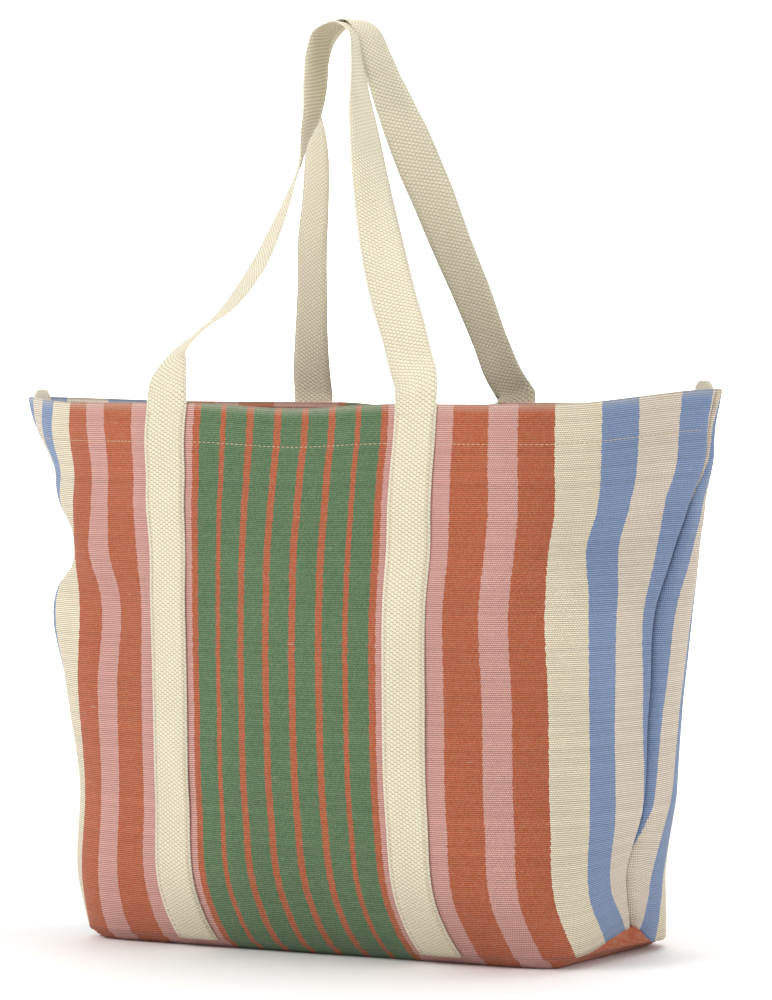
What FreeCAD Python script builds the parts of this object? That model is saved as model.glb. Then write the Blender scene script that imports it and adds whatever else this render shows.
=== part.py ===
import FreeCAD, Part
import math
import os
import Sketcher

# Striped canvas beach bag with two webbing handles, in millimetres.
# +X is the bag's right, +Y its back and +Z up. The origin is the middle of the face it rests on.
# The two walls meet at a seam down each end of the bag, in the plane Y = 0.

SIZES = {
    # the cloth and its folds
    "canvas_thickness": 1.2,
    "hem_depth": 26,
    "thread_width": 0.8,
    "thread_thickness": 0.4,
    # the rest face and the seam round it
    "base_half_length": 195,
    "base_half_width": 85,
    "base_corner_radius": 25,
    "seam_height": 7,
    "base_roll": 8,
    # the heel, where the walls have swung out over the base
    "heel_height": 50,
    "heel_half_span": 203,
    "heel_front_depth": 124,
    "heel_back_depth": 118,
    "heel_corner_radius": 50,
    "heel_flat_share": 0.7,
    # the belly, the fullest height
    "belly_height": 185,
    "belly_half_span": 220,
    "belly_front_depth": 143,
    "belly_back_depth": 135,
    "belly_corner_radius": 80,
    "belly_flat_share": 0.3,
    # the waist, where the ends of the bag are pulled in below the mouth
    "waist_drop": 110,
    "waist_half_span": 234,
    "waist_front_depth": 138,
    "waist_back_depth": 118,
    "waist_corner_radius": 80,
    "waist_flat_share": 0.1,
    # the rim
    "bag_height": 386,
    "rim_half_span": 274,
    "rim_front_depth": 124,
    "rim_back_depth": 62,
    "rim_corner_radius": 90,
    # the handles
    "webbing_width": 32,
    "webbing_thickness": 1.8,
    "handle_offset": 100,
    "handle_margin": 2.5,
    "handle_rise": 266,
    "handle_lean": 20,
    "apex_stagger": 10,
    "apex_clearance": 6.4,
    "hinge_clearance": 0.6,
    "stitch_inset": 2.5,
    # the tapes that bind the seams inside
    "tape_width": 14,
    "tape_thickness": 4,
    "tape_nose": 3.5,
    "tape_rise": 6,
    "bottom_tape_height": 10,
    "bottom_tape_thickness": 3,
}

FRONT = -1
BACK = 1
WALLS = {"front": FRONT, "back": BACK}
ENDS = {"left": -1, "right": 1}

doc = FreeCAD.newDocument("beach_bag")
sheet = doc.addObject("Spreadsheet::Sheet", "sizes")
for row, (alias, size) in enumerate(SIZES.items(), start=1):
    sheet.set(f"A{row}", alias)
    sheet.set(f"B{row}", str(size))
    sheet.setAlias(f"B{row}", alias)
levels = doc.addObject("App::VarSet", "levels")
doc.recompute()


# ---------------------------------------------------------------- heights of the walls

LEVEL_SIZES = ("height", "half_span", "flat_half", "front_depth", "back_depth", "corner_radius")


def add_level(name, **formulas):
    """One height of the walls: its place and its outline, each bound to the sheet."""
    for size in LEVEL_SIZES:
        key = f"{name}_{size}"
        levels.addProperty("App::PropertyFloat", key, name)
        levels.setExpression(key, formulas.get(size, f"sizes.{key}"))


def add_blend(name, lower, upper, height):
    """A height between two others, on the straight rulings that join them."""
    share = (f"(({height}) - levels.{lower}_height)"
             f" / (levels.{upper}_height - levels.{lower}_height)")
    formulas = {"height": height}
    for size in LEVEL_SIZES[1:]:
        low = f"levels.{lower}_{size}"
        formulas[size] = f"{low} + (levels.{upper}_{size} - {low}) * {share}"
    add_level(name, **formulas)


def flat_between(share):
    """Half the flat middle of a wall: from the handles' reach at the rim to the base's corners."""
    return (f"levels.rim_flat_half + (levels.base_flat_half - levels.rim_flat_half)"
            f" * sizes.{share}")


add_level("rim", height="sizes.bag_height",
          flat_half="sizes.handle_offset + sizes.webbing_width / 2 + sizes.handle_margin")
add_level("base", height="sizes.seam_height", half_span="sizes.base_half_length",
          flat_half="sizes.base_half_length - sizes.base_corner_radius",
          front_depth="sizes.base_half_width", back_depth="sizes.base_half_width")
add_level("heel", flat_half=flat_between("heel_flat_share"))
add_level("belly", flat_half=flat_between("belly_flat_share"))
add_level("waist", height="sizes.bag_height - sizes.waist_drop",
          flat_half=flat_between("waist_flat_share"))
add_blend("hem", "waist", "rim", "sizes.bag_height - sizes.hem_depth")
add_blend("tape", "base", "heel", "sizes.seam_height + sizes.bottom_tape_height")
doc.recompute()

WALL_LEVELS = ("base", "heel", "belly", "waist", "hem")
HEM_LEVELS = ("hem", "rim")
TAPE_LEVELS = ("tape", "heel", "belly", "waist", "hem", "rim")


def size_of(alias):
    return float(sheet.get(alias))


def level_of(name, size):
    return getattr(levels, f"{name}_{size}")


# ---------------------------------------------------------------- bodies and sketches

def new_body(label):
    body = doc.addObject("PartDesign::Body", label)
    body.Label = label
    return body


def new_sketch(body, name, height):
    """A sketch in the body's own horizontal plane, raised to a height."""
    sketch = body.newObject("Sketcher::SketchObject", name)
    plane = [f for f in body.Origin.OriginFeatures if f.Role == "XY_Plane"][0]
    sketch.AttachmentSupport = [(plane, "")]
    sketch.MapMode = "FlatFace"
    sketch.setExpression("AttachmentOffset.Base.z", height)
    return sketch


def constrain(sketch, *terms, formula=None):
    """Adds one constraint; one that is a size is bound to its formula."""
    index = sketch.addConstraint(Sketcher.Constraint(*terms))
    if formula:
        sketch.setExpression(f"Constraints[{index}]", formula)


def line(x1, y1, x2, y2):
    return Part.LineSegment(FreeCAD.Vector(x1, y1, 0), FreeCAD.Vector(x2, y2, 0))


def arc(x, y, radius, start, end):
    circle = Part.Circle(FreeCAD.Vector(x, y, 0), FreeCAD.Vector(0, 0, 1), radius)
    return Part.ArcOfCircle(circle, math.radians(start), math.radians(end))


START, END, CENTRE = 1, 2, 3
ORIGIN = (-1, 1)
X_AXIS, Y_AXIS = -1, -2


def wall_outline(level, side, inset):
    """End line, corner arc, flat line, corner arc and end line of a wall, left to right."""
    span, flat = level_of(level, "half_span"), level_of(level, "flat_half")
    depth = level_of(level, "front_depth" if side == FRONT else "back_depth")
    radius = level_of(level, "corner_radius")
    centre = depth - radius
    reach = math.hypot(span - flat, centre)
    turn = math.pi - math.atan2(centre, flat - span) + math.asin(radius / reach)
    tangent = math.sqrt(reach ** 2 - radius ** 2)
    end_x = span - tangent * math.cos(turn) - inset * math.sin(turn)
    end_y = side * (tangent * math.sin(turn) - inset * math.cos(turn))
    seam_x = span - inset / math.sin(turn)
    middle = 90 * side
    sweep = math.degrees(turn)
    flat_y = side * (depth - inset)
    right = sorted((middle, middle - side * sweep))
    left = sorted((middle, middle + side * sweep))
    return [
        line(-seam_x, 0, -end_x, end_y),
        arc(-flat, side * centre, radius - inset, *left),
        line(-flat, flat_y, flat, flat_y),
        arc(flat, side * centre, radius - inset, *right),
        line(end_x, end_y, seam_x, 0),
    ]


def join_outline(sketch, first, side):
    """Makes the five pieces of an outline run smoothly into each other."""
    before, after = (START, END) if side == FRONT else (END, START)
    constrain(sketch, "Tangent", first, END, first + 1, before)
    constrain(sketch, "Tangent", first + 1, after, first + 2, START)
    constrain(sketch, "Tangent", first + 2, END, first + 3, before)
    constrain(sketch, "Tangent", first + 3, after, first + 4, START)
    constrain(sketch, "Equal", first + 1, first + 3)


def wall_section(body, name, level, side, thickness):
    """One horizontal slice of a wall: its outer line, and a second line a thickness inside it."""
    sketch = new_sketch(body, name, f"levels.{level}_height")
    depth = "front_depth" if side == FRONT else "back_depth"
    outer = wall_outline(level, side, 0)
    inner = wall_outline(level, side, thickness[0])
    caps = [line(inner[4].EndPoint.x, 0, outer[4].EndPoint.x, 0),
            line(inner[0].StartPoint.x, 0, outer[0].StartPoint.x, 0)]
    sketch.addGeometry(outer + inner + caps, False)
    join_outline(sketch, 0, side)
    constrain(sketch, "PointOnObject", 4, END, X_AXIS)
    constrain(sketch, "Symmetric", 0, START, 4, END, Y_AXIS)
    constrain(sketch, "Symmetric", 2, START, 2, END, Y_AXIS)
    constrain(sketch, "DistanceX", *ORIGIN, 4, END, level_of(level, "half_span"),
              formula=f"levels.{level}_half_span")
    constrain(sketch, "DistanceX", *ORIGIN, 2, END, level_of(level, "flat_half"),
              formula=f"levels.{level}_flat_half")
    constrain(sketch, "DistanceY", *ORIGIN, 2, END, side * level_of(level, depth),
              formula=f"levels.{level}_{depth} * {side}")
    constrain(sketch, "Radius", 1, level_of(level, "corner_radius"),
              formula=f"levels.{level}_corner_radius")
    join_outline(sketch, 5, side)
    constrain(sketch, "Coincident", 6, CENTRE, 1, CENTRE)
    constrain(sketch, "Coincident", 8, CENTRE, 3, CENTRE)
    constrain(sketch, "Radius", 6, level_of(level, "corner_radius") - thickness[0],
              formula=f"levels.{level}_corner_radius - ({thickness[1]})")
    for inner_line, outer_line, end in ((5, 0, START), (9, 4, END)):
        constrain(sketch, "Parallel", inner_line, outer_line)
        constrain(sketch, "PointOnObject", inner_line, end, X_AXIS)
    for cap, inner_line, outer_line, end in ((10, 9, 4, END), (11, 5, 0, START)):
        constrain(sketch, "Coincident", cap, START, inner_line, end)
        constrain(sketch, "Coincident", cap, END, outer_line, end)
    return sketch


def rectangle(body, name, height, x_range, y_range):
    """A rectangle between two X and two Y formulas, each given as (value, formula)."""
    sketch = new_sketch(body, name, height)
    (x1, x1_formula), (x2, x2_formula) = x_range
    (y1, y1_formula), (y2, y2_formula) = y_range
    sketch.addGeometry([line(x1, y1, x2, y1), line(x2, y1, x2, y2),
                        line(x2, y2, x1, y2), line(x1, y2, x1, y1)], False)
    for side in range(4):
        constrain(sketch, "Coincident", side, END, (side + 1) % 4, START)
        constrain(sketch, "Horizontal" if side % 2 == 0 else "Vertical", side)
    constrain(sketch, "DistanceX", *ORIGIN, 0, START, x1, formula=x1_formula)
    constrain(sketch, "DistanceX", *ORIGIN, 0, END, x2, formula=x2_formula)
    constrain(sketch, "DistanceY", *ORIGIN, 0, START, y1, formula=y1_formula)
    constrain(sketch, "DistanceY", *ORIGIN, 2, START, y2, formula=y2_formula)
    return sketch


def base_outline(body, name, height, *insets):
    """The base's outline, a rounded rectangle, once for each inset given as (value, formula)."""
    sketch = new_sketch(body, name, height)
    for count, (inset, formula) in enumerate(insets):
        first = 8 * count
        x = size_of("base_half_length") - inset
        y = size_of("base_half_width") - inset
        radius = size_of("base_corner_radius") - inset
        cx, cy = x - radius, y - radius
        sketch.addGeometry([
            line(-cx, -y, cx, -y), arc(cx, -cy, radius, 270, 360),
            line(x, -cy, x, cy), arc(cx, cy, radius, 0, 90),
            line(cx, y, -cx, y), arc(-cx, cy, radius, 90, 180),
            line(-x, cy, -x, -cy), arc(-cx, -cy, radius, 180, 270)], False)
        for piece in range(8):
            constrain(sketch, "Tangent", first + piece, END, first + (piece + 1) % 8, START)
        for piece in (0, 4):
            constrain(sketch, "Horizontal", first + piece)
            constrain(sketch, "Vertical", first + piece + 2)
        for piece in (3, 5, 7):
            constrain(sketch, "Equal", first + 1, first + piece)
        constrain(sketch, "Radius", first + 1, radius,
                  formula=f"sizes.base_corner_radius - ({formula})")
        constrain(sketch, "DistanceX", *ORIGIN, first + 2, START, x,
                  formula=f"sizes.base_half_length - ({formula})")
        constrain(sketch, "DistanceX", *ORIGIN, first + 6, START, -x,
                  formula=f"-(sizes.base_half_length - ({formula}))")
        constrain(sketch, "DistanceY", *ORIGIN, first + 4, START, y,
                  formula=f"sizes.base_half_width - ({formula})")
        constrain(sketch, "DistanceY", *ORIGIN, first, START, -y,
                  formula=f"-(sizes.base_half_width - ({formula}))")
    return sketch


def loft(body, name, sections, kind="PartDesign::AdditiveLoft"):
    """Straight rulings through the sections, in order."""
    feature = body.newObject(kind, name)
    feature.Profile = sections[0]
    feature.Sections = sections[1:]
    feature.Ruled = True
    return feature


def pad(body, name, sketch, length):
    feature = body.newObject("PartDesign::Pad", name)
    feature.Profile = sketch
    feature.setExpression("Length", length)
    return feature


# ---------------------------------------------------------------- the pieces of cloth

def wall_panel(name, side):
    """One wall: a single layer up to the hem, and two layers where the hem is turned in."""
    body = new_body(f"{name}_panel")
    single = (size_of("canvas_thickness"), "sizes.canvas_thickness")
    double = (2 * size_of("canvas_thickness"), "2 * sizes.canvas_thickness")
    wall = [wall_section(body, f"{name}_wall_at_{level}", level, side, single)
            for level in WALL_LEVELS]
    loft(body, f"{name}_wall", wall)
    hem = [wall_section(body, f"{name}_hem_at_{level}", level, side, double)
           for level in HEM_LEVELS]
    loft(body, f"{name}_hem", hem)
    return body


def bottom_panel():
    """The base: a flat floor whose edges roll up to the seam with the walls."""
    body = new_body("bottom_panel")
    cloth = size_of("canvas_thickness")
    roll = size_of("base_roll")
    lower = base_outline(body, "floor_outline", "0", (roll, "sizes.base_roll"))
    upper = base_outline(body, "floor_seam", "sizes.seam_height", (0, "0"))
    loft(body, "floor_block", [lower, upper])
    lower = base_outline(body, "floor_inside", "sizes.canvas_thickness",
                         (roll + cloth, "sizes.base_roll + sizes.canvas_thickness"))
    upper = base_outline(body, "seam_inside", "sizes.seam_height",
                         (cloth, "sizes.canvas_thickness"))
    loft(body, "floor_hollow", [lower, upper], "PartDesign::SubtractiveLoft")
    return body


def bottom_binding():
    """The tape that binds the seam round the floor, standing just inside the walls."""
    body = new_body("bottom_seam_binding")
    cloth = size_of("canvas_thickness")
    sketch = base_outline(
        body, "bottom_tape", "sizes.seam_height", (cloth, "sizes.canvas_thickness"),
        (cloth + size_of("bottom_tape_thickness"),
         "sizes.canvas_thickness + sizes.bottom_tape_thickness"))
    pad(body, "bottom_tape_pad", sketch, "sizes.bottom_tape_height")
    return body


def side_binding(name, end, walls):
    """The tape down an end seam, inside; its folded top stands a little over the rim."""
    body = new_body(f"{name}_tape_blank")
    half = size_of("tape_thickness") / 2
    y_range = ((-half, "-sizes.tape_thickness / 2"), (half, "sizes.tape_thickness / 2"))
    sections = []
    for level in TAPE_LEVELS + ("top",):
        at = "rim" if level == "top" else level
        height = f"levels.{at}_height" + (" + sizes.tape_rise" if level == "top" else "")
        outer = level_of(at, "half_span") - size_of("tape_nose")
        outer_formula = f"{end} * (levels.{at}_half_span - sizes.tape_nose)"
        inner_formula = f"{end} * (levels.{at}_half_span - sizes.tape_nose - sizes.tape_width)"
        x_range = ((end * outer, outer_formula),
                   (end * (outer - size_of("tape_width")), inner_formula))
        sections.append(rectangle(body, f"{name}_tape_at_{level}", height, x_range, y_range))
    loft(body, f"{name}_tape", sections)
    binding = doc.addObject("Part::Cut", f"{name}_side_binding")
    binding.Label = f"{name}_side_binding"
    binding.Base = body
    binding.Tool = walls
    return binding


# ---------------------------------------------------------------- the handles

def handle_strip(label, side, level_names, x_range, first, last):
    """A strip that follows the flat middle of a wall, between two distances outside it."""
    body = new_body(label)
    sections = []
    for level in level_names:
        depth = "front_depth" if side == FRONT else "back_depth"
        at = level_of(level, depth)
        y_range = [(side * (at + distance), f"{side} * (levels.{level}_{depth} + ({formula}))")
                   for distance, formula in (first, last)]
        sections.append(rectangle(body, f"{label}_at_{level}", f"levels.{level}_height",
                                  x_range, y_range))
    loft(body, f"{label}_loft", sections)
    return body


def handle_leg(wall, side, name, end):
    """The sewn end of a handle, on the outside of a wall from the base seam to the rim."""
    offset = end * size_of("handle_offset")
    half = size_of("webbing_width") / 2
    x_range = [(offset + way * half, f"{end} * sizes.handle_offset + {way} * sizes.webbing_width / 2")
               for way in (-1, 1)]
    return handle_strip(f"{wall}_handle_{name}_leg", side, WALL_LEVELS + ("rim",), x_range,
                        (0, "0"), (size_of("webbing_thickness"), "sizes.webbing_thickness"))


def handle_stitching(wall, side, name, end, way):
    """One row of thread, set in from an edge of a sewn handle end."""
    webbing = size_of("webbing_thickness")
    thread = size_of("thread_width") / 2
    centre = end * size_of("handle_offset") + way * (size_of("webbing_width") / 2
                                                     - size_of("stitch_inset"))
    place = (f"{end} * sizes.handle_offset"
             f" + {way} * (sizes.webbing_width / 2 - sizes.stitch_inset)")
    x_range = [(centre - thread, f"{place} - sizes.thread_width / 2"),
               (centre + thread, f"{place} + sizes.thread_width / 2")]
    edge = "inner" if way == -end else "outer"
    return handle_strip(f"{wall}_handle_{name}_{edge}_stitching", side, WALL_LEVELS + ("rim",),
                        x_range, (webbing, "sizes.webbing_thickness"),
                        (webbing + size_of("thread_thickness"),
                         "sizes.webbing_thickness + sizes.thread_thickness"))


def hem_stitching(name, side):
    """The row of thread round a wall that holds its hem."""
    body = new_body(f"{name}_hem_stitching")
    thread = (-size_of("thread_thickness"), "-sizes.thread_thickness")
    sketch = wall_section(body, f"{name}_thread", "hem", side, thread)
    pad(body, f"{name}_thread_pad", sketch, "sizes.thread_width")
    return body


# Half a handle, from the rim to the apex: share of the half gap between its legs, share of the
# rise, and how far the webbing has turned towards edge-on.
HALF_HANDLE = ((1.0, 0.0, 0), (0.97, 0.09, 8), (0.74, 0.23, 22), (0.48, 0.41, 45),
               (0.29, 0.62, 70), (0.19, 0.82, 88), (0.13, 0.94, 90), (0.0, 1.0, 90))
SECTIONS_PER_SPAN = 4


def handle_loop(name, side, over):
    """The free part of a handle: one webbing that rises, turns edge-on and bends over."""
    y_rim = side * (size_of(f"rim_{name}_depth") + size_of("webbing_thickness") / 2)
    y_apex = side * size_of("apex_stagger")
    spread = size_of("apex_clearance") + size_of("webbing_thickness") if over else 0
    z_rim = size_of("bag_height") + size_of("hinge_clearance")
    rise = size_of("handle_rise") + spread
    points, turns = [], []
    for end in (-1, 1):
        half = HALF_HANDLE if end == -1 else HALF_HANDLE[-2::-1]
        for gap, height, turn in half:
            outward = gap * size_of("handle_offset") + (spread * height if gap else 0)
            lean = size_of("handle_lean") * height ** 2
            points.append(FreeCAD.Vector(end * outward - lean,
                                         y_rim + (y_apex - y_rim) * height,
                                         z_rim + rise * height))
            turns.append(-turn if end == -1 else turn - 180)
    path = Part.BSplineCurve()
    path.interpolate(points)
    places = [path.parameter(point) for point in points]
    half_width = size_of("webbing_width") / 2
    half_thick = size_of("webbing_thickness") / 2
    sections = []
    for span in range(len(points) - 1):
        steps = SECTIONS_PER_SPAN + (span == len(points) - 2)
        for step in range(steps):
            share = step / SECTIONS_PER_SPAN
            place = places[span] + (places[span + 1] - places[span]) * share
            angle = math.radians(turns[span] + (turns[span + 1] - turns[span]) * share)
            along = path.tangent(place)[0].normalize()
            if place in (path.FirstParameter, path.LastParameter):
                along = FreeCAD.Vector(0, 0, 1 if along.z > 0 else -1)
            across = FreeCAD.Vector(math.cos(angle), math.sin(angle), 0)
            across = (across - along * across.dot(along)).normalize()
            through = across.cross(along)
            centre = path.value(place)
            corners = [centre + across * (a * half_width) + through * (b * half_thick)
                       for a, b in ((-1, -1), (1, -1), (1, 1), (-1, 1))]
            sections.append(Part.makePolygon(corners + corners[:1]))
    loop = doc.addObject("Part::Feature", f"{name}_handle_loop")
    loop.Label = f"{name}_handle_loop"
    loop.Shape = Part.makeLoft(sections, True, True)
    return loop


# ---------------------------------------------------------------- the whole bag

panels = {name: wall_panel(name, side) for name, side in WALLS.items()}
pieces = list(panels.values()) + [bottom_panel(), bottom_binding()]
both_walls = doc.addObject("Part::Compound", "both_walls")
both_walls.Links = list(panels.values())
pieces += [side_binding(name, end, both_walls) for name, end in ENDS.items()]
for wall, wall_side in WALLS.items():
    pieces.append(hem_stitching(wall, wall_side))
    for end_name, end_side in ENDS.items():
        pieces.append(handle_leg(wall, wall_side, end_name, end_side))
        for row_side in (-1, 1):
            pieces.append(handle_stitching(wall, wall_side, end_name, end_side, row_side))
    pieces.append(handle_loop(wall, wall_side, over=wall_side == BACK))
doc.recompute()

for thing in doc.Objects:
    if {"Invalid", "Error"} & set(thing.State):
        raise RuntimeError(f"{thing.Label} did not compute: {thing.State}")
os.makedirs("parts", exist_ok=True)
for piece in pieces:
    shape = piece.Shape
    if shape.isNull() or not shape.isValid() or not shape.Solids:
        raise RuntimeError(f"{piece.Label} is not a sound solid")
    shape.exportStep(f"parts/{piece.Label}.step")
    box = shape.BoundBox
    print(f"{piece.Label:38s} volume {shape.Volume:10.0f}  X {box.XMin:7.1f} {box.XMax:7.1f}"
          f"  Y {box.YMin:7.1f} {box.YMax:7.1f}  Z {box.ZMin:6.1f} {box.ZMax:6.1f}")
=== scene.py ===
import math

import bpy
import numpy as np
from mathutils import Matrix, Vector, noise


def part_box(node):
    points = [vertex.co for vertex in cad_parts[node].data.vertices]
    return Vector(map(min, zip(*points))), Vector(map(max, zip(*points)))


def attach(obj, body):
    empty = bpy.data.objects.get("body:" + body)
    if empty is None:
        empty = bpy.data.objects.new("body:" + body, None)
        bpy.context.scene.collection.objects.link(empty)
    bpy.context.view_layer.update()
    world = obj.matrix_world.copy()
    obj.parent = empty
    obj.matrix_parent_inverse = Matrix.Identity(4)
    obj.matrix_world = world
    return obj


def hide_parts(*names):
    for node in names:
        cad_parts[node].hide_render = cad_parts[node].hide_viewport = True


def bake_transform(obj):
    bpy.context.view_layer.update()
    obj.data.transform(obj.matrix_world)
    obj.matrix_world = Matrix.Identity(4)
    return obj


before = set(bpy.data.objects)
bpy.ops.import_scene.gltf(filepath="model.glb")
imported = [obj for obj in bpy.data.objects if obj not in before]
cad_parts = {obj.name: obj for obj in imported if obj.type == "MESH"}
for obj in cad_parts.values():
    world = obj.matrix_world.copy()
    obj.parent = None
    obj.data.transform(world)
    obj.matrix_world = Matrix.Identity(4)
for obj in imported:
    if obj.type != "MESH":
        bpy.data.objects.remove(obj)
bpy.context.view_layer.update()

# A striped canvas beach bag in metres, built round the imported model. The walls are worked out in
# cloth coordinates: s is a distance along the weft from the middle of a wall, and height is how
# high that thread lies before the rim and the base are drawn out of level.

MM = 0.001
FRONT, BACK = -1, 1
WALLS = {"front": FRONT, "back": BACK}
LEFT, RIGHT = -1, 1
ENDS = {"left": LEFT, "right": RIGHT}

CLOTH = 1.2 * MM
HEM_DEPTH = 26 * MM
HEM_FOLD = 1.5 * MM
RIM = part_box("front_panel")[1].z
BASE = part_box("front_panel")[0].z

# Half the cut width of a wall at some heights, and how far from the wall's middle the handles'
# ends are sewn.
CUT_HEIGHTS = (7 * MM, 40 * MM, 110 * MM, 180 * MM, 386 * MM)
HALF_CUTS = (274 * MM, 291 * MM, 304 * MM, 310 * MM, 330 * MM)
HANDLE_STATIONS = {("front", LEFT): 97 * MM, ("front", RIGHT): 97 * MM,
                   ("back", LEFT): 96 * MM, ("back", RIGHT): 84 * MM}

WEBBING_WIDTH = 32 * MM
WEBBING = 1.8 * MM
CLEARANCE = 0.1 * MM


# ---------------------------------------------------------------- smooth curves and cloth shapes

def ease(value):
    """0 below 0, 1 above 1, and a smooth step between."""
    value = np.clip(value, 0.0, 1.0)
    return value * value * (3 - 2 * value)


def through(stops, values, at):
    """A smooth curve through the values at the stops, read at one place or at many."""
    stops = np.asarray(stops, float)
    values = np.asarray(values, float)
    slopes = np.gradient(values, stops, axis=0)
    at = np.clip(np.asarray(at, float), stops[0], stops[-1])
    first = np.clip(np.searchsorted(stops, at, side="right") - 1, 0, len(stops) - 2)
    width = stops[first + 1] - stops[first]
    t = (at - stops[first]) / width
    if values.ndim > 1:
        t = t[..., None]
        width = width[..., None]
    return ((2 * t ** 3 - 3 * t ** 2 + 1) * values[first]
            + (t ** 3 - 2 * t ** 2 + t) * width * slopes[first]
            + (3 * t ** 2 - 2 * t ** 3) * values[first + 1]
            + (t ** 3 - t ** 2) * width * slopes[first + 1])


# How each wall turns away from the plane of its middle, in degrees, at these distances along the
# cloth. A row is a height in millimetres, how far the wall's middle is from the bag's, then the
# turns.
STATIONS = np.array((0, 50, 97, 139, 162, 184, 214, 246, 279, 309)) * MM
FRONT_RIGHT = (
    (7, 87, 0, 0, 0, 1, 14, 54, 82, 88, 92, 94),
    (20, 102, 0, 0, 0, 4, 11, 46, 78, 88, 92, 96),
    (39, 117, 0, 0, -3, 5, 12, 42, 76, 88, 92, 100),
    (110, 137, 0, 0, 0, 10, 19, 40, 65, 81, 83, 84),
    (180, 142, -1, 0, 2, 11, 23, 42, 62, 80, 82, 80),
    (250, 142, -1, 0, 3, 0, 19, 44, 56, 74, 84, 78),
    (290, 140, 1, 3, 6, 4, 15, 52, 70, 66, 66, 70),
    (315, 136, 1, 1, 3, 12, 23, 41, 59, 67, 74, 58),
    (340, 131, 0, 0, 1, 6, 21, 37, 52, 60, 66, 62),
    (361, 127, 0, 0, 0, 0, 19, 39, 50, 57, 65, 66),
    (386, 124, 0, 0, 0, -2, 19, 40, 51, 57, 58, 63),
)
FRONT_LEFT = (
    (7, 87, 0, 0, 0, 0, 0, 20, 72, 90, 92, 94),
    (20, 102, 0, 1, 2, 4, 5, 26, 64, 84, 91, 95),
    (39, 117, 0, 2, 5, 9, 11, 28, 56, 74, 88, 96),
    (110, 137, 0, 9, 12, 17, 18, 29, 53, 66, 78, 90),
    (180, 142, 1, 11, 11, 19, 13, 23, 42, 60, 76, 88),
    (250, 142, 1, 9, 10, 25, 14, 20, 28, 58, 74, 84),
    (284, 140, 1, 7, 8, 10, 9, 32, 66, 76, 70, 72),
    (299, 138, 1, 5, 6, 12, 14, 30, 52, 60, 63, 65),
    (313, 136, 0, 3, 4, 14, 20, 27, 43, 54, 59, 60),
    (338, 131, 0, 0, 2, 16, 21, 28, 41, 50, 54, 57),
    (361, 127, 0, -2, 0, 16, 20, 28, 37, 45, 51, 56),
    (386, 124, 0, 0, 0, 11, 21, 31, 38, 42, 46, 50),
)
BACK_BOTH = (
    (7, 83, 0, 0, 0, 0, 6, 42, 82, 90, 92, 94),
    (20, 96, 0, 1, 3, 5, 10, 38, 74, 86, 91, 95),
    (39, 108, 0, 3, 6, 10, 16, 36, 66, 82, 92, 98),
    (110, 127, 0, 5, 9, 16, 22, 35, 55, 72, 85, 96),
    (180, 131, 0, 7, 10, 17, 20, 30, 47, 67, 84, 96),
    (250, 128, 0, 11, 12, 18, 14, 20, 38, 62, 84, 96),
    (290, 119, 0, 16, 13, 20, 12, 16, 32, 56, 76, 88),
    (340, 106, 0, 26, 10, 20, 6, 4, 16, 44, 64, 72),
    (386, 95, 0, 37, 0, 14, 0, -10, 4, 34, 58, 66),
)
TURNS = {(FRONT, RIGHT): FRONT_RIGHT, (FRONT, LEFT): FRONT_LEFT,
         (BACK, RIGHT): BACK_BOTH, (BACK, LEFT): BACK_BOTH}

# Each half wall is worked out at every step of its cloth, a little past its widest cut.
STEP = 1 * MM
FINE = np.arange(0, HALF_CUTS[-1] + 2 * STEP, STEP)

# The left end of the mouth is pulled outwards, by this share at the rim.
LEFT_STRETCH = 0.03
STRETCH_FROM = 330 * MM
STRETCH_OVER = 50 * MM

# The walls' edges turn inwards at the end seams and lie against each other.
TUCK_DEPTH = 5 * MM
TUCK_LENGTH = 6 * MM
TUCK_GAP = 0.6 * CLOTH


def half_cloth(height):
    """Half the cut width of a wall at a height: it narrows towards the base."""
    return float(np.interp(height, CUT_HEIGHTS, HALF_CUTS))


def plain_profile(side, end, height):
    """X and Y along one half of a wall at a height, from the middle outwards."""
    rows = np.array(TURNS[side, end], float)
    row = through(rows[:, 0] * MM, rows[:, 1:], height)
    turn = np.radians(through(STATIONS, row[1:], FINE))
    depth = row[0] * MM - CLOTH / 2
    x = np.concatenate(([0], np.cumsum(np.cos(turn[1:]) * STEP)))
    y = np.concatenate(([0], np.cumsum(np.sin(turn[1:]) * STEP)))
    if end == LEFT:
        x = x * (1 + LEFT_STRETCH * ease((height - STRETCH_FROM) / STRETCH_OVER))
    return end * x, side * (depth - y)


def read(curve, distance):
    """X and Y of a half wall at a distance along its cloth."""
    return np.array([np.interp(distance, FINE, values) for values in curve])


def seam(end, height):
    """Where the two walls meet at an end of the bag."""
    return read(plain_profile(FRONT, end, height), half_cloth(height))


def profile(side, end, height):
    """A half wall that meets the other one at the seam, where its edge is tucked inwards."""
    x, y = plain_profile(side, end, height)
    width = half_cloth(height)
    if side == BACK:
        target = seam(end, height)
        reached = read((x, y), width)
        share = np.clip(FINE / width, 0, None)
        x = x * (1 + (target[0] / reached[0] - 1) * share)
        y = y + (target[1] - reached[1]) * share ** 2
    tuck = ease((FINE - width + TUCK_LENGTH) / TUCK_LENGTH)
    return x - end * TUCK_DEPTH * tuck, y + side * TUCK_GAP * tuck


# The rim dips along its middle, sags between the handles and stands up at its right end. All of it
# fades out downwards.
RIM_LIFT = {RIGHT: 7 * MM, LEFT: 0 * MM}
RIM_DIP = 3 * MM
RIM_SAG = {FRONT: 3.5 * MM, BACK: 6.5 * MM}
RIM_END_FROM = 190 * MM
RIM_END_OVER = 140 * MM
SAG_REACH = 80 * MM
RIM_SHAPE_FROM = 230 * MM

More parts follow.
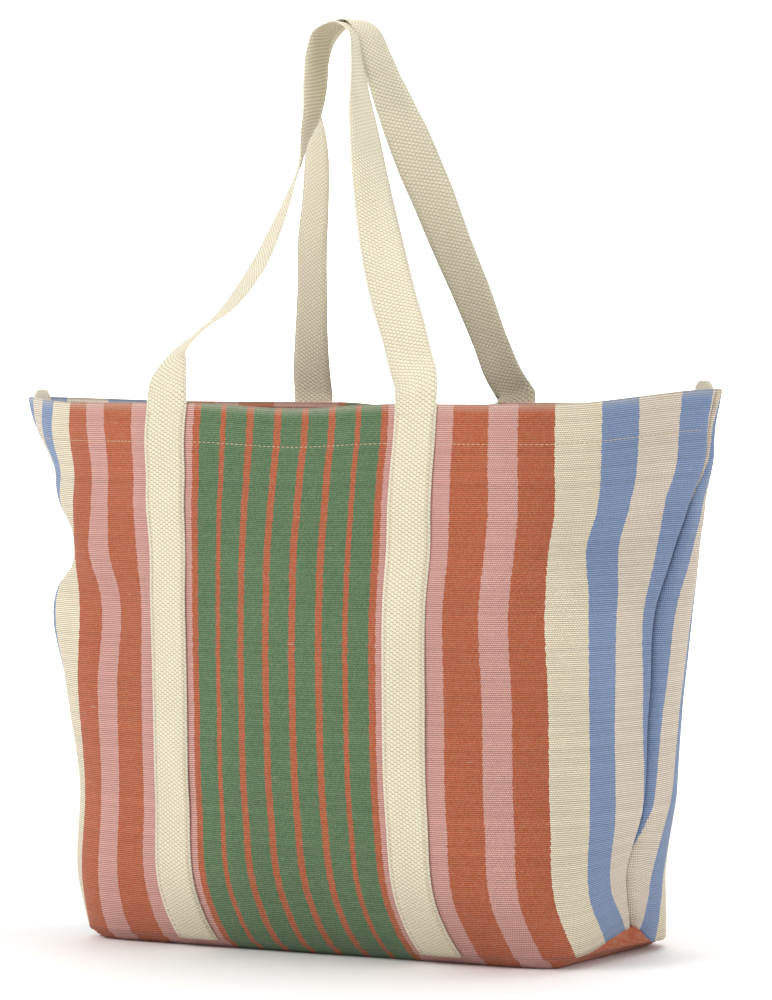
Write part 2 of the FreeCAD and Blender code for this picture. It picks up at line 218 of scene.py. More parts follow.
# The seam round the base is drawn up off the floor at the two ends, over a longer way along the
# front wall than along the back one.
BASE_LIFT = {RIGHT: 14 * MM, LEFT: 5 * MM}
LIFT_REACH = {FRONT: 85 * MM, BACK: 40 * MM}
LIFT_HEIGHT = 110 * MM


def raised(side, end, distance, height):
    """The real height of a point of the cloth."""
    outward = ease((distance - RIM_END_FROM) / RIM_END_OVER)
    at_rim = ease((height - RIM_SHAPE_FROM) / (RIM - RIM_SHAPE_FROM))
    between = 1 - ease(distance / SAG_REACH)
    lift = at_rim * (RIM_LIFT[end] * outward - RIM_DIP * (1 - outward) - RIM_SAG[side] * between)
    near_seam = ease(1 - (half_cloth(height) - distance) / LIFT_REACH[side])
    return height + lift + (1 - ease(height / LIFT_HEIGHT)) * BASE_LIFT[end] * near_seam


# How far the cloth wrinkles, in broad and in small folds, and how far it puckers at the base seam.
BROAD_FOLDS = 1.5 * MM
SMALL_FOLDS = 0.45 * MM
PUCKERS = 0.9 * MM
PUCKER_FADE = 16 * MM
CALM_FROM = 45 * MM
CALM_OVER = 40 * MM


def wrinkle(point, side, distance, height):
    """How far the cloth stands out of its smooth shape. The hem is calm."""
    broad = noise.noise(Vector((point[0] * 11, point[1] * 11 + side * 7, point[2] * 9)))
    small = noise.noise(Vector((point[0] * 38, point[1] * 38 + side * 3, point[2] * 24)))
    pucker = noise.noise(Vector((distance * 95, height * 12, side * 5.0)))
    near_base = math.exp(-max(0.0, height - BASE) / PUCKER_FADE)
    calm = 1 - ease((height - RIM + CALM_FROM) / CALM_OVER)
    return (BROAD_FOLDS * broad + SMALL_FOLDS * small) * calm + PUCKERS * pucker * near_base


# A wall is worked out at this many heights, and its directions are taken over this much each way.
TABLE_ROWS = 96
FRAME_STEP = 2 * MM


class Wall:
    """One wall of the bag, read at any place in its cloth."""

    def __init__(self, name, side):
        self.name = name
        self.side = side
        heights = np.linspace(BASE, RIM, TABLE_ROWS)
        self.table = {end: np.array([profile(side, end, height) for height in heights])
                      for end in ENDS.values()}

    def smooth_point(self, s, height):
        end = RIGHT if s >= 0 else LEFT
        place = (height - BASE) / (RIM - BASE) * (TABLE_ROWS - 1)
        low = int(np.clip(math.floor(place), 0, TABLE_ROWS - 2))
        lower, upper = (read(self.table[end][k], abs(s)) for k in (low, low + 1))
        x, y = lower + (upper - lower) * (place - low)
        return Vector((x, y, raised(self.side, end, abs(s), height)))

    def frame(self, s, height):
        """A point on the smooth wall, the way along the weft, and the way out."""
        point = self.smooth_point(s, height)
        before, after = (self.smooth_point(s + way * FRAME_STEP, height) for way in (-1, 1))
        across = after - before
        top, bottom = min(height + FRAME_STEP, RIM), max(height - FRAME_STEP, BASE)
        up = self.smooth_point(s, top) - self.smooth_point(s, bottom)
        out = across.cross(up) * -self.side
        return point, across.normalized(), out.normalized()

    def point(self, s, height, outward=0.0):
        """A point on the wrinkled wall, or a given way out of it."""
        point, across, out = self.frame(s, height)
        return point + out * (outward + wrinkle(point, self.side, abs(s), height))


walls = {name: Wall(name, side) for name, side in WALLS.items()}


# ---------------------------------------------------------------- meshes

def new_object(name, vertices, faces, uvs):
    """A mesh piece. uvs gives each vertex its place in the cloth, in metres."""
    mesh = bpy.data.meshes.new(name)
    mesh.from_pydata([tuple(v) for v in vertices], [], faces)
    layer = mesh.uv_layers.new(name="Cloth")
    for loop in mesh.loops:
        layer.data[loop.index].uv = uvs[loop.vertex_index]
    for polygon in mesh.polygons:
        polygon.use_smooth = True
    mesh.update()
    piece = bpy.data.objects.new(name, mesh)
    bpy.context.scene.collection.objects.link(piece)
    return piece


def grid(name, points, uvs, flip=False):
    """A sheet through rows of points."""
    rows, columns = len(points), len(points[0])
    faces = []
    for r in range(rows - 1):
        for c in range(columns - 1):
            a = r * columns + c
            face = (a, a + 1, a + columns + 1, a + columns)
            faces.append(face[::-1] if flip else face)
    return new_object(name, [p for row in points for p in row], faces,
                      [uv for row in uvs for uv in row])


def thicken(piece, thickness):
    """Give a sheet its thickness, half on each side."""
    solid = piece.modifiers.new("cloth", "SOLIDIFY")
    solid.thickness = thickness
    solid.offset = 0
    return piece


# A strip's ring of points has this many on each face. Its edges are thinner than its middle.
RING_HALF = 7
EDGE_THINNING = 0.55
EDGE_POWER = 10


def ribbon(name, sections, width, thickness, closed=False):
    """A strip of webbing or tape through sections, each given as its centre and its way across."""
    vertices, uvs, faces = [], [], []
    count = len(sections)
    ring = 2 * RING_HALF
    length = 0.0
    for k, (centre, across) in enumerate(sections):
        before = sections[k - 1 if k or closed else 0][0]
        after = sections[(k + 1) % count if closed else min(k + 1, count - 1)][0]
        along = (after - before).normalized()
        sideways = (across - along * across.dot(along)).normalized()
        through_it = sideways.cross(along)
        if k:
            length += (centre - sections[k - 1][0]).length
        for face in (1, -1):
            for c in range(RING_HALF):
                u = (c / (RING_HALF - 1) - 0.5) * face
                round_off = 1 - EDGE_THINNING * abs(2 * u) ** EDGE_POWER
                vertices.append(centre + sideways * (u * width)
                                + through_it * (face * thickness / 2 * round_off))
                uvs.append((u * width, length))
    for k in range(count if closed else count - 1):
        for c in range(ring):
            a, b = k * ring + c, k * ring + (c + 1) % ring
            after = (k + 1) % count
            faces.append((a, b, after * ring + (c + 1) % ring, after * ring + c))
    if not closed:
        faces.append(tuple(range(ring))[::-1])
        faces.append(tuple(range((count - 1) * ring, count * ring)))
    return new_object(name, vertices, faces, uvs)


# ---------------------------------------------------------------- materials

def seen(red, green, blue):
    """A colour given as it looks on a screen, 0 to 255, made linear."""
    def one(value):
        value /= 255
        return value / 12.92 if value <= 0.04045 else ((value + 0.055) / 1.055) ** 2.4
    return (one(red), one(green), one(blue), 1.0)


ORANGE = seen(203, 100, 57)
PINK = seen(230, 170, 160)
GREEN = seen(89, 130, 87)
WIDE_CREAM = seen(255, 241, 212)
CREAM = seen(248, 232, 213)
BLUE = seen(135, 163, 206)
WEBBING_COLOUR = seen(229, 222, 199)
TAPE_COLOUR = seen(236, 228, 208)
THREAD_COLOUR = seen(216, 186, 146)

# The second colours that show in them, where yarn is bare, worn, shaded or flecked.
WEFT_COLOUR = seen(238, 222, 198)
SLUB_COLOUR = seen(240, 226, 206)
WORN_COLOUR = seen(240, 228, 208)
SHADED_WEBBING = seen(216, 206, 178)
SELVEDGE_COLOUR = seen(232, 226, 206)
FLECK_COLOUR = seen(132, 108, 72)
SHADED_TAPE = seen(226, 214, 190)
PALE_THREAD = seen(226, 202, 166)

SHEEN_ROUGHNESS = 0.5
CLOTH_SPECULAR = 0.25
CIRCLE = 2 * math.pi


class Finish:
    """A node material with short ways to add to it."""

    def __init__(self, name, roughness, sheen):
        self.material = bpy.data.materials.new(name)
        self.material.use_nodes = True
        self.tree = self.material.node_tree
        self.shader = self.tree.nodes["Principled BSDF"]
        self.shader.inputs["Roughness"].default_value = roughness
        self.shader.inputs["Sheen Weight"].default_value = sheen
        self.shader.inputs["Sheen Roughness"].default_value = SHEEN_ROUGHNESS
        self.shader.inputs["Specular IOR Level"].default_value = CLOTH_SPECULAR

    def node(self, kind, inputs=None, **settings):
        """A new node, its inputs linked to sockets or set to values."""
        made = self.tree.nodes.new(kind)
        for key, value in settings.items():
            setattr(made, key, value)
        for key, value in (inputs or {}).items():
            if isinstance(value, bpy.types.NodeSocket):
                self.tree.links.new(value, made.inputs[key])
            else:
                made.inputs[key].default_value = value
        return made

    def math(self, operation, a, b=0.0):
        return self.node("ShaderNodeMath", {0: a, 1: b}, operation=operation).outputs[0]

    def place(self):
        """The place in the cloth: across and along, in metres."""
        uv = self.node("ShaderNodeUVMap", uv_map="Cloth")
        split = self.node("ShaderNodeSeparateXYZ", {0: uv.outputs[0]})
        return split.outputs[0], split.outputs[1]

    def join(self, x, y):
        return self.node("ShaderNodeCombineXYZ", {0: x, 1: y}).outputs[0]

    def noise(self, vector, scale, detail=2.0):
        made = self.node("ShaderNodeTexNoise", {"Vector": vector, "Scale": scale,
                                                "Detail": detail})
        return made.outputs[0]

    def cloth_noise(self, across, by, along, times, detail=2.0):
        """Noise over the cloth, its grain set by how much each way is multiplied."""
        place = self.join(self.math("MULTIPLY", across, by), self.math("MULTIPLY", along, times))
        return self.noise(place, 1.0, detail)

    def random(self, value):
        made = self.node("ShaderNodeTexWhiteNoise", {"W": value}, noise_dimensions="1D")
        return made.outputs[0]

    def range(self, value, low, high, to_low=0.0, to_high=1.0):
        made = self.node("ShaderNodeMapRange", {"Value": value, "From Min": low, "From Max": high,
                                                "To Min": to_low, "To Max": to_high})
        return made.outputs[0]

    def mix(self, share, a, b, blend="MIX"):
        made = self.node("ShaderNodeMix", {0: share, 6: a, 7: b}, data_type="RGBA")
        made.blend_type = blend
        return made.outputs[2]

    def shade(self, colour, amount):
        """The colour times a grey."""
        grey = self.node("ShaderNodeCombineColor", {0: amount, 1: amount, 2: amount})
        return self.mix(1.0, colour, grey.outputs[0], "MULTIPLY")

    def steps(self, value, stops):
        """Bands of colour, each from its stop to the next one's."""
        made = self.node("ShaderNodeValToRGB", {0: value})
        ramp = made.color_ramp
        ramp.interpolation = "CONSTANT"
        while len(ramp.elements) < len(stops):
            ramp.elements.new(1.0)
        for element, (position, colour) in zip(ramp.elements, stops):
            element.position = position
            element.color = colour
        return made.outputs[0]

    def finish(self, colour, height, strength, distance):
        bump = self.node("ShaderNodeBump", {"Height": height, "Strength": strength,
                                            "Distance": distance})
        self.tree.links.new(colour, self.shader.inputs["Base Color"])
        self.tree.links.new(bump.outputs[0], self.shader.inputs["Normal"])
        return self.material


# The stripes, as where each begins, from the middle of the wall outwards, in millimetres. The
# green middle has pin stripes of one width, and the last of them meets the pink.
PIN_STARTS = (7.8, 28.5, 49.2, 69.9)
PIN_WIDTH = 5.1
OUTER_STRIPES = ((75, PINK), (126, ORANGE), (152.5, PINK), (171.5, ORANGE), (197.5, WIDE_CREAM),
                 (231.5, BLUE), (261.5, CREAM), (296, BLUE), (322.5, CREAM))
STRIPE_REACH = 340
RIB_PITCH = 1.4 * MM
WARP_PITCH = 1.25 * MM

# How far a stripe's edge steps from rib to rib, and how far it wanders.
EDGE_TOOTH = 0.8 * MM
EDGE_DRIFT = 1.2 * MM

# The darkest and the lightest tone over a rib's cells, from rib to rib and over broad patches.
# Over the cells the tone is painted shade in the weave's hollows and a painted highlight on its
# threads.
CELL_SHADE_AND_HIGHLIGHT = (0.38, 1.28)
RIB_TONES = (0.93, 1.05)
PATCH_TONES = (0.94, 1.04)
GRAIN_TONES = (0.9, 1.08)
BARE_WEFT = (0.15, 0.5)
SLUB_SHOWS = 0.25
WORN_SHOWS = 0.2
WORN_REACH = 5 * MM
CANVAS_RELIEF = 0.4 * MM


def stripe_stops():
    """Where each band of colour begins, as a share of the stripes' reach."""
    stops = [(0.0, GREEN)]
    for start in PIN_STARTS:
        stops.append((start / STRIPE_REACH, ORANGE))
        if start < PIN_STARTS[-1]:
            stops.append(((start + PIN_WIDTH) / STRIPE_REACH, GREEN))
    return stops + [(start / STRIPE_REACH, colour) for start, colour in OUTER_STRIPES]


def canvas_material():
    """Yarn-dyed canvas: thick weft ribs over fine warp, stripes with toothed edges, and slubs."""
    f = Finish("striped_canvas", roughness=0.92, sheen=0.12)
    u, v = f.place()
    rib = f.math("DIVIDE", v, RIB_PITCH)
    row = f.math("FLOOR", rib)
    tooth = f.math("MULTIPLY", f.math("SUBTRACT", f.random(row), 0.5), EDGE_TOOTH)
    drift_noise = f.cloth_noise(u, 3.0, v, 9.0)
    drift = f.math("MULTIPLY", f.math("SUBTRACT", drift_noise, 0.5), EDGE_DRIFT)
    across = f.math("ABSOLUTE", f.math("ADD", f.math("ADD", u, tooth), drift))
    stripe = f.steps(f.math("DIVIDE", across, STRIPE_REACH * MM), stripe_stops())

    # a plain weave: every other warp thread is over a weft rib, and a row later the others are
    warp = f.math("DIVIDE", u, WARP_PITCH)
    ridge = f.math("SINE", f.math("MULTIPLY", rib, CIRCLE))
    shifted = f.math("ADD", warp, f.math("MULTIPLY", row, 0.5))
    thread = f.math("SINE", f.math("MULTIPLY", shifted, CIRCLE))
    cells = f.math("MULTIPLY", f.math("ADD", ridge, 1.0), f.math("ADD", thread, 1.5))
    cell_tone = f.random(f.math("ADD", f.math("FLOOR", shifted), f.math("MULTIPLY", row, 57.3)))
    grain = f.cloth_noise(warp, 1.3, rib, 1.3)

    # the pale weft shows through at the gaps, more in some than in others, and in a few slubs
    gap = f.range(thread, -0.2, -0.95)
    bright_cell = f.range(cell_tone, 0.0, 1.0, *BARE_WEFT)
    speck = f.math("MULTIPLY", gap, bright_cell)
    slub_mask = f.range(f.cloth_noise(u, 60.0, row, 0.83), 0.7, 0.82, 0.0, SLUB_SHOWS)
    colour = f.mix(speck, stripe, WEFT_COLOUR)
    colour = f.mix(slub_mask, colour, SLUB_COLOUR)

    # tone: over each cell, rib by rib, and in broad patches of washing; then the rim, worn pale
    # painted shade in the hollows of the weave's cells and a painted highlight on the tops of its
    # threads
    tone = f.range(cells, 0.0, 4.6, *CELL_SHADE_AND_HIGHLIGHT)
    rib_tone = f.range(f.random(f.math("ADD", row, 0.37)), 0.0, 1.0, *RIB_TONES)
    patch_tone = f.range(f.cloth_noise(u, 9.0, v, 7.0, 4.0), 0.3, 0.7, *PATCH_TONES)
    tone = f.math("MULTIPLY", tone, f.range(grain, 0.3, 0.7, *GRAIN_TONES))
    colour = f.shade(colour, f.math("MULTIPLY", f.math("MULTIPLY", tone, rib_tone), patch_tone))
    from_rim = f.math("ABSOLUTE", f.math("SUBTRACT", v, RIM))
    worn = f.range(from_rim, 0.0, WORN_REACH, WORN_SHOWS, 0.0)
    colour = f.mix(worn, colour, WORN_COLOUR)

    height = f.math("ADD", f.math("MULTIPLY", cells, 0.24), f.math("MULTIPLY", grain, 0.5))
    height = f.math("ADD", height, f.math("MULTIPLY", slub_mask, 0.8))
    return f.finish(colour, height, strength=0.5, distance=CANVAS_RELIEF)


CELL_WIDTH = 2.4 * MM
CELL_LENGTH = 2.9 * MM
CELL_SLANT = 0.12
# The darkest and the lightest tone over the cells: painted shade in the gaps, a little lighter on
# top.
WEBBING_GAP_SHADE = (0.4, 1.08)
WEBBING_PATCHES = (0.95, 1.03)
SELVEDGE = (14.6 * MM, 15.2 * MM)
SELVEDGE_SHOWS = 0.4
FLECK_SHOWS = 0.6
WEBBING_RELIEF = 0.5 * MM


def webbing_material():
    """Coarse natural webbing: slanting cells, painted shade in the gaps, and a plain selvedge."""
    f = Finish("natural_webbing", roughness=0.9, sheen=0.15)
    u, v = f.place()
    a = f.math("DIVIDE", u, CELL_WIDTH)
    b = f.math("DIVIDE", v, CELL_LENGTH)
    # columns of plump cells, each column half a cell on from the last, with slanting gaps
    column = f.math("FLOOR", a)
    in_column = f.math("SUBTRACT", a, column)
    step = f.math("ADD", f.math("ADD", b, f.math("MULTIPLY", column, 0.5)),
                  f.math("MULTIPLY", in_column, CELL_SLANT))
    plump = f.math("SINE", f.math("MULTIPLY", in_column, math.pi))
    beat = f.math("ABSOLUTE", f.math("SINE", f.math("MULTIPLY", step, math.pi)))
    cell = f.math("POWER", f.math("MULTIPLY", f.range(plump, 0.0, 1.0, 0.45, 1.0), beat), 0.5)
    grain = f.cloth_noise(a, 2.2, b, 1.8, 3.0)
    patch = f.cloth_noise(u, 30.0, v, 12.0, 3.0)
    selvedge = f.range(f.math("ABSOLUTE", u), *SELVEDGE)

    colour = f.mix(f.range(grain, 0.35, 0.7), SHADED_WEBBING, WEBBING_COLOUR)
    # painted shade in the gaps between the cells, and the cells' tops a little lighter
    tone = f.range(cell, 0.05, 0.8, *WEBBING_GAP_SHADE)
    tone = f.math("MULTIPLY", tone, f.range(patch, 0.3, 0.7, *WEBBING_PATCHES))
    colour = f.shade(colour, tone)
    fleck = f.range(f.cloth_noise(u, 420.0, v, 260.0), 0.79, 0.83, 0.0, FLECK_SHOWS)
    colour = f.mix(fleck, colour, FLECK_COLOUR)
    colour = f.mix(f.math("MULTIPLY", selvedge, SELVEDGE_SHOWS), colour, SELVEDGE_COLOUR)
    height = f.math("ADD", cell, f.math("MULTIPLY", grain, 0.35))
    return f.finish(colour, height, strength=0.7, distance=WEBBING_RELIEF)


TWILL_WIDTH = 1.1 * MM
TWILL_LENGTH = 1.5 * MM
TAPE_RELIEF = 0.25 * MM
THREAD_TWIST = 0.55 * MM
THREAD_RELIEF = 0.15 * MM


def tape_material():
    """Narrow twill tape: fine slanting lines, with painted shade in the grooves between them."""
    f = Finish("twill_tape", roughness=0.9, sheen=0.1)
    u, v = f.place()
    slant = f.math("ADD", f.math("DIVIDE", u, TWILL_WIDTH), f.math("DIVIDE", v, TWILL_LENGTH))
    line = f.math("SINE", f.math("MULTIPLY", slant, CIRCLE))
    grain = f.cloth_noise(u, 700.0, v, 500.0, 3.0)
    # painted shade in the grooves between the twill lines
    groove_shade = f.range(line, -1.0, 1.0, 0.84, 1.03)
    tone = f.math("MULTIPLY", groove_shade, f.range(grain, 0.3, 0.7, 0.94, 1.04))
    colour = f.shade(f.mix(grain, TAPE_COLOUR, SHADED_TAPE), tone)
    height = f.math("ADD", line, grain)
    return f.finish(colour, height, strength=0.5, distance=TAPE_RELIEF)


def thread_material():
    """Twisted sewing thread, with painted shade in the grooves of its twist."""
    f = Finish("cotton_thread", roughness=0.75, sheen=0.1)
    u, v = f.place()
    twist = f.math("SINE", f.math("MULTIPLY", f.math("ADD", u, v), CIRCLE / THREAD_TWIST))
    grain = f.cloth_noise(u, 900.0, v, 900.0)
    # painted shade in the grooves of the twist
    twist_shade = f.range(twist, -1.0, 1.0, 0.8, 1.04)
    tone = f.math("MULTIPLY", twist_shade, f.range(grain, 0.3, 0.7, 0.92, 1.04))
    colour = f.shade(f.mix(grain, THREAD_COLOUR, PALE_THREAD), tone)
    return f.finish(colour, twist, strength=0.4, distance=THREAD_RELIEF)


materials = {"canvas": canvas_material(), "webbing": webbing_material(),
             "tape": tape_material(), "thread": thread_material()}


def dress(piece, slot):
    """Give a piece its material."""
    piece.data.materials.append(materials[slot])
    return piece


# ---------------------------------------------------------------- the walls and the base

COLUMNS = 170
ROWS = 104
FOLD_ROWS = 5
HEM_ROWS = 10


def cloth_row(wall, height, along, outward=0.0, rise=0.0):
    """A row of points across a wall, with their places in the cloth."""
    half = half_cloth(height)
    places = [(2 * c / COLUMNS - 1) * half for c in range(COLUMNS + 1)]
    points = [wall.point(s, height, outward) + Vector((0, 0, rise)) for s in places]
    return points, [(s, along) for s in places]


def make_wall(name):
    """A wall with its hem turned in: up the outside, over the fold and down the inside."""
    wall = walls[name]
    rows = []
    for r in range(ROWS + 1):
        height = BASE + (RIM - BASE) * r / ROWS
        rows.append(cloth_row(wall, height, height))
    for k in range(1, FOLD_ROWS + 1):
        angle = math.pi * k / FOLD_ROWS
        inward = HEM_FOLD * (1 - math.cos(angle)) / 2
        rise = HEM_FOLD * math.sin(angle) / 2
        rows.append(cloth_row(wall, RIM, RIM + inward, -inward, rise))
    for k in range(1, HEM_ROWS + 1):
        height = RIM - HEM_DEPTH * k / HEM_ROWS
        rows.append(cloth_row(wall, height, 2 * RIM - height, -HEM_FOLD))
    points, uvs = zip(*rows)
    piece = thicken(grid(f"{name}_wall", points, uvs, flip=wall.side == BACK), CLOTH)
    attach(dress(piece, "canvas"), "bag")
    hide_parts(f"{name}_panel")
    return piece


BASE_COLUMNS = 150
BASE_ROWS = 60
BASE_ROLL = 13 * MM
BASE_WAVES = 0.5 * MM
BASE_LOWEST = 0.55 * CLOTH


def make_base():
    """The bottom of the bag: flat in the middle, rolled up to the walls' lower edges."""
    width = half_cloth(BASE)
    reach = {end: abs(walls["front"].point(end * width, BASE).x) for end in ENDS.values()}
    points, uvs = [], []
    for r in range(BASE_ROWS + 1):
        points.append([])
        uvs.append([])
        share = r / BASE_ROWS
        for c in range(BASE_COLUMNS + 1):
            s = (2 * c / BASE_COLUMNS - 1) * width
            near = walls["front"].point(s, BASE)
            far = walls["back"].point(s, BASE)
            flat = near.lerp(far, share)
            edge = min(share, 1 - share) * (far - near).length
            end_edge = max(0.0, reach[RIGHT if s >= 0 else LEFT] - abs(flat.x))
            inside = ease(min(edge, end_edge) / BASE_ROLL)
            wave = BASE_WAVES * noise.noise(Vector((flat.x * 12, flat.y * 12, 3.0)))
            low = BASE_LOWEST + abs(wave)
            flat.z = flat.z + (low - flat.z) * inside
            points[-1].append(flat)
            uvs[-1].append((flat.x, flat.y))
    piece = thicken(grid("base", points, uvs, flip=True), CLOTH)
    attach(dress(piece, "canvas"), "bag")
    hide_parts("bottom_panel")
    return piece


front_wall = make_wall("front")
back_wall = make_wall("back")
base = make_base()


# ---------------------------------------------------------------- the tapes inside

TAPE_WIDTH = 14 * MM
TAPE_THICKNESS = 3.4 * MM
TAPE_RISE = 7 * MM
TAPE_START = 26 * MM
TAPE_GAP = 6 * MM
TAPE_ROWS = 90
TAPE_TOP_ROWS = 5
TAPE_ROUNDING = 0.8
SOFT_EDGE = 1.2 * MM


def make_side_tape(name, end):
    """The tape down an end seam, with its folded top just over the rim."""
    bottom = BASE + TAPE_START
    across = Vector((1, 0, 0))
    sections = []
    for k in range(TAPE_ROWS + 1):
        height = bottom + (RIM - bottom) * k / TAPE_ROWS
        x, y = seam(end, height)
        z = raised(FRONT, end, half_cloth(height), height)
        sections.append((Vector((x - end * (TAPE_WIDTH / 2 + TAPE_GAP), y, z)), across))
    top = sections[-1][0]
    for k in range(1, TAPE_TOP_ROWS + 1):
        turn = math.pi / 2 * k / TAPE_TOP_ROWS
        sections.append((top + Vector((0, 0, TAPE_RISE * math.sin(turn))), across))
    piece = ribbon(f"{name}_side_tape", sections, TAPE_WIDTH, TAPE_THICKNESS)
    for vertex in piece.data.vertices:
        above = min(max(0.0, vertex.co.z - top.z) / TAPE_RISE, 1.0)
        vertex.co.x = top.x + (vertex.co.x - top.x) * math.sqrt(1 - TAPE_ROUNDING * above ** 2)
    bevel = piece.modifiers.new("soft", "BEVEL")
    bevel.width = SOFT_EDGE
    bevel.segments = 3
    bevel.limit_method = "ANGLE"
    bevel.angle_limit = math.radians(50)
    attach(dress(piece, "tape"), "bag")
    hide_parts(f"{name}_side_binding")


BASE_TAPE_WIDTH = 10 * MM
BASE_TAPE_THICKNESS = 2.4 * MM
BASE_TAPE_HEIGHT = 6 * MM
BASE_TAPE_GAP = 2.6 * MM
BASE_TAPE_SPOTS = 120

# Near the end seams it turns further inwards, clear of the walls' edges, which are tucked in.
END_GAP = 9 * MM
TURN_IN = 6.5 * MM
TURN_IN_FROM = 24 * MM
TURN_IN_OVER = 16 * MM


def make_base_tape():
    """The tape round the seam between the walls and the base, standing inside."""
    height = BASE + BASE_TAPE_HEIGHT
    width = half_cloth(height) - END_GAP
    sections = []
    for wall in walls.values():
        for k in range(BASE_TAPE_SPOTS):
            s = (2 * k / (BASE_TAPE_SPOTS - 1) - 1) * width * -wall.side
            point, across, out = wall.frame(s, height)
            up = across.cross(out)
            up *= math.copysign(1, up.z)
            turned_in = ease((abs(s) - width + TURN_IN_FROM) / TURN_IN_OVER)
            sections.append((point - out * (BASE_TAPE_GAP + TURN_IN * turned_in), up))
    piece = ribbon("base_tape", sections, BASE_TAPE_WIDTH, BASE_TAPE_THICKNESS, closed=True)
    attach(dress(piece, "tape"), "bag")
    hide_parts("bottom_seam_binding")


for name, end in ENDS.items():
    make_side_tape(name, end)
make_base_tape()


# ---------------------------------------------------------------- the handles

# The free part of each handle, from its left end at the rim over the top to its right end:
# X, Y and Z in millimetres, and how far its width is turned from +X, in degrees.
FRONT_HANDLE = (
    (-100, -124.9, 389, 0), (-102, -120, 403, -12), (-101, -111, 417, -36), (-90, -104, 431, -52),
    (-65, -94, 455, -40), (-52, -85, 477, -38), (-44, -73, 504, -43), (-39, -62, 529, -52),
    (-36, -52, 551, -61), (-37, -44, 570, -70), (-36, -36, 588, -82), (-38, -26, 610, -90),
    (-40, -18, 631, -90), (-38, -12, 644.5, -90), (-31, -10, 651, -90), (-22, -11, 652, -88),
    (-14, -13, 645, -78), (-8, -18.5, 628, -74), (-1, -27, 609, -80), (6, -36, 588, -92),
    (19, -51, 553, -106), (30, -63, 526, -118), (44, -77, 494, -136), (62, -93, 457, -156),
    (75, -103, 434, -168), (86, -112, 412, -176), (94, -120, 400, -180), (97, -124.9, 389, -180),
)
BACK_HANDLE = (
    (-90, 62.9, 389, 0), (-90, 60, 404, -4), (-87, 54, 428, -12), (-83, 48, 458, -18),
    (-78, 40, 501, -20), (-73, 35, 524, -24), (-66, 26, 567, -32), (-61, 18, 601, -58),
    (-56, 11, 626, -84), (-50, 7, 641, -90), (-42, 5, 649, -90), (-32, 4, 654, -90),
    (-22, 4, 655.5, -92), (-14, 5, 649, -96), (-8, 7, 633, -102), (-2, 11, 612, -112),
    (4.5, 16, 592, -124), (11.5, 20, 573, -138), (18, 25, 553, -149), (26, 31, 530, -162),
    (35, 38, 501, -173), (49, 48, 460, -182), (60, 55, 426, -189), (68, 60, 403, -184),
    (74, 62.9, 389, -180),
)
HANDLES = {"front": FRONT_HANDLE, "back": BACK_HANDLE}
HANDLE_OUT = CLOTH / 2 + WEBBING / 2 + CLEARANCE
LEG_ROWS = 96
LEG_INSET = 1 * MM
SECTION_STEP = 4 * MM


def leg_sections(wall, end):
    """The sewn end of a handle, from the base seam to the rim."""
    sections = []
    station = HANDLE_STATIONS[wall.name, end]
    for k in range(LEG_ROWS):
        height = BASE + LEG_INSET + (RIM - BASE - 2 * LEG_INSET) * k / (LEG_ROWS - 1)
        point, across, out = wall.frame(end * station, height)
        lift = wrinkle(point, wall.side, station, height)
        sections.append((point + out * (HANDLE_OUT + lift), across))
    return sections


def loop_sections(keys, left_top, right_top):
    """The free part of a handle, joined to the tops of its two sewn ends."""
    keys = np.array(keys, float)
    points = keys[:, :3] * MM
    points[0, :2] = left_top[:2]
    points[-1, :2] = right_top[:2]
    stops = np.concatenate(([0], np.cumsum(np.linalg.norm(np.diff(points, axis=0), axis=1))))
    places = np.linspace(0, stops[-1], int(stops[-1] / SECTION_STEP))
    centres = through(stops, points, places)
    turns = np.radians(through(stops, keys[:, 3], places))
    return [(Vector(centre), Vector((math.cos(turn), math.sin(turn), 0)))
            for centre, turn in zip(centres, turns)]


def make_handle(name):
    """One length of webbing: up a sewn end, over the free loop and down the other sewn end."""
    wall = walls[name]
    left = leg_sections(wall, LEFT)
    right = [(centre, -across) for centre, across in leg_sections(wall, RIGHT)[::-1]]
    loop = loop_sections(HANDLES[name], left[-1][0], right[0][0])
    piece = ribbon(f"{name}_webbing", left + loop + right, WEBBING_WIDTH, WEBBING)
    dress(piece, "webbing")
    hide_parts(f"{name}_handle_left_leg", f"{name}_handle_right_leg",
                f"{name}_handle_loop")
    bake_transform(piece)
    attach(piece, "bag")


for name in WALLS:
    make_handle(name)


# ---------------------------------------------------------------- the stitching

STITCH_LENGTH = 2.7 * MM
STITCH_PITCH = 3.6 * MM
THREAD = 0.6 * MM
STITCH_SIDES = 6
STITCH_RINGS = 5
STITCH_TAPER = 0.92
STITCH_DIP = 0.35
STITCH_FLATTENING = 0.7


def add_stitch(vertices, faces, uvs, centre, along, out):
    """One stitch: a short soft grain of thread that dips into the cloth at both ends."""
    side = along.cross(out).normalized()
    first = len(vertices)
    last_ring = first + (STITCH_RINGS - 1) * STITCH_SIDES
    for r in range(STITCH_RINGS):
        t = 2 * r / (STITCH_RINGS - 1) - 1
        radius = THREAD / 2 * math.sqrt(1 - t * t * STITCH_TAPER)
        middle = centre + along * (t * STITCH_LENGTH / 2) - out * (STITCH_DIP * THREAD * t * t)
        for k in range(STITCH_SIDES):
            angle = CIRCLE * k / STITCH_SIDES
            vertices.append(middle + side * (radius * math.cos(angle))
                            + out * (radius * STITCH_FLATTENING * math.sin(angle)))
            uvs.append((t * STITCH_LENGTH / 2, k * THREAD / 2))
    for ring in range(first, last_ring, STITCH_SIDES):
        for k in range(STITCH_SIDES):
            a, b = ring + k, ring + (k + 1) % STITCH_SIDES
            faces.append((a, b, b + STITCH_SIDES, a + STITCH_SIDES))
    faces.append(tuple(range(first, first + STITCH_SIDES))[::-1])
    faces.append(tuple(range(last_ring, last_ring + STITCH_SIDES)))


